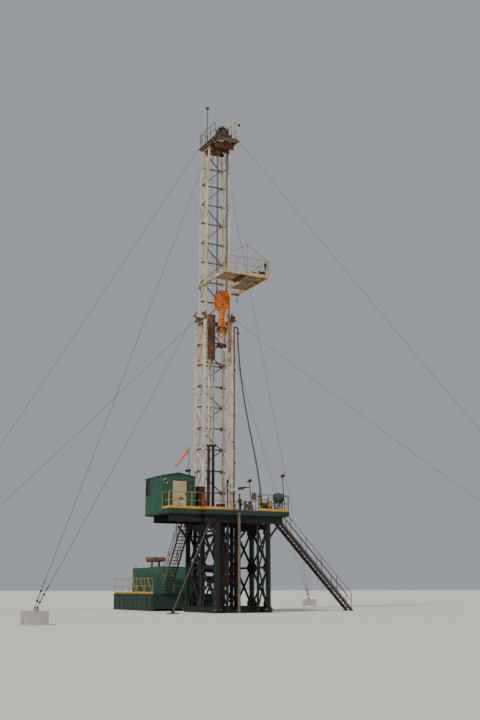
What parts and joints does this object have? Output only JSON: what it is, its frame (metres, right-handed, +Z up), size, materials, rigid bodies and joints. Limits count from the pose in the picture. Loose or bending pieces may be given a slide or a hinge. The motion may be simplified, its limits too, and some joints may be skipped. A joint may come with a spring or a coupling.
{
  "type": "oil drilling rig",
  "caption": "Land drilling rig: telescoping lattice mast with racking board, travelling block and hook on a raised drill floor with doghouse, stairs and guy cables.",
  "frame": {"origin": "well centre at ground level, the middle of the square of guy anchors", "axes": "+Z up along the well, -Y to the front where pipe comes in, +X to the rig's right"},
  "size_m": [38, 38, 38.2],
  "materials": {
    "dark_green_paint": "dirty dark green paint over steel, stained black",
    "green_paint": "weathered green paint",
    "wall_green": "faded green paint on sheet steel",
    "yellow_paint": "chipped yellow paint",
    "deck_steel": "worn steel plate with mud",
    "door_tan": "tan paint",
    "dark_glass": "dirty dark glass",
    "stair_steel": "dark brown paint, worn to steel",
    "mast_cream": "cream paint with rust runs",
    "rusty_steel": "rusted steel",
    "dark_steel": "dark greased steel",
    "wire_rope": "greased wire rope",
    "block_orange": "orange paint with grease",
    "hose_rubber": "black rubber",
    "concrete": "cast concrete",
    "valve_red": "dark red paint with mud",
    "sock_cloth": "faded orange cloth"
  },
  "bodies": {
    "rig": {"side_frame_left": "dark_green_paint", "side_frame_right": "dark_green_paint", "cross_bracing": "dark_green_paint", "mast_pedestals": "dark_green_paint", "diagonal_prop": "dark_green_paint", "floor_beams": "dark_green_paint", "floor_joists": "dark_green_paint", "floor_edge_beams": "green_paint", "drill_floor": "deck_steel", "rotary_table": "deck_steel", "toe_boards": "yellow_paint", "floor_rails": "yellow_paint", "porch_deck": "green_paint", "porch_rails": "yellow_paint", "doghouse_base": "green_paint", "doghouse_left_wall": "wall_green", "doghouse_right_wall": "wall_green", "doghouse_back_wall": "wall_green", "doghouse_front_walls": "wall_green", "doghouse_lintel": "wall_green", "doghouse_roof": "wall_green", "doghouse_windows": "dark_glass", "stair_left": "stair_steel", "stair_right": "stair_steel", "stair_treads": "stair_steel", "mast_lower_left": "mast_cream", "mast_lower_right": "mast_cream", "mast_lower_back": "mast_cream", "mast_upper_left": "mast_cream", "mast_upper_right": "mast_cream", "mast_upper_back": "mast_cream", "mast_guides": "rusty_steel", "mast_ladder": "mast_cream", "raising_cylinders": "dark_steel", "crown_frame": "rusty_steel", "crown_rails": "rusty_steel", "racking_platform": "mast_cream", "racking_rails": "yellow_paint", "drilling_lines": "wire_rope", "fast_line": "wire_rope", "standpipe": "dark_steel", "rotary_hose": "hose_rubber", "guy_lines": "wire_rope", "guy_anchors": "concrete", "drawworks_skid": "green_paint", "drawworks_house": "wall_green", "deck_rails": "yellow_paint", "bop_stack": "valve_red", "rathole_pipe": "rusty_steel", "tool_cabinet": "valve_red", "air_winch": "yellow_paint", "floodlights": "dark_steel", "windsock_pole": "dark_steel"},
    "block": {"travelling_block": "block_orange"},
    "hook": {"hook": "block_orange", "elevator_links": "dark_steel"},
    "crown_sheave_pack": {"crown_sheaves": "rusty_steel"},
    "fast_sheave": {"fast_line_sheave": "rusty_steel"},
    "door": {"doghouse_door": "door_tan"},
    "sock": {"windsock": "sock_cloth"}
  },
  "joints": [
    {"name": "block_travel", "type": "slide", "parent": "rig", "child": "block", "axis": [0, 0, 1], "range_m": [-10.4, 8.9], "deforming": ["drilling_lines"]},
    {"name": "hook_swivel", "type": "hinge", "parent": "block", "child": "hook", "pos_m": [0, 0, 20.75], "axis": [0, 0, 1], "continuous": true},
    {"name": "crown_sheaves_turn", "type": "hinge", "parent": "rig", "child": "crown_sheave_pack", "pos_m": [0, 0, 35.54], "axis": [0, 1, 0], "continuous": true},
    {"name": "fast_sheave_turn", "type": "hinge", "parent": "rig", "child": "fast_sheave", "pos_m": [0.4, 2.15, 35.31], "axis": [1, 0, 0], "continuous": true},
    {"name": "door_hinge", "type": "hinge", "parent": "rig", "child": "door", "pos_m": [-4.603, -2.014, 7.5], "axis": [0, 0, -1], "range_deg": [0, 100]},
    {"name": "windsock_swivel", "type": "hinge", "parent": "rig", "child": "sock", "pos_m": [-3.1, -1.3, 10.9], "axis": [0, 0, 1], "continuous": true}
  ]
}
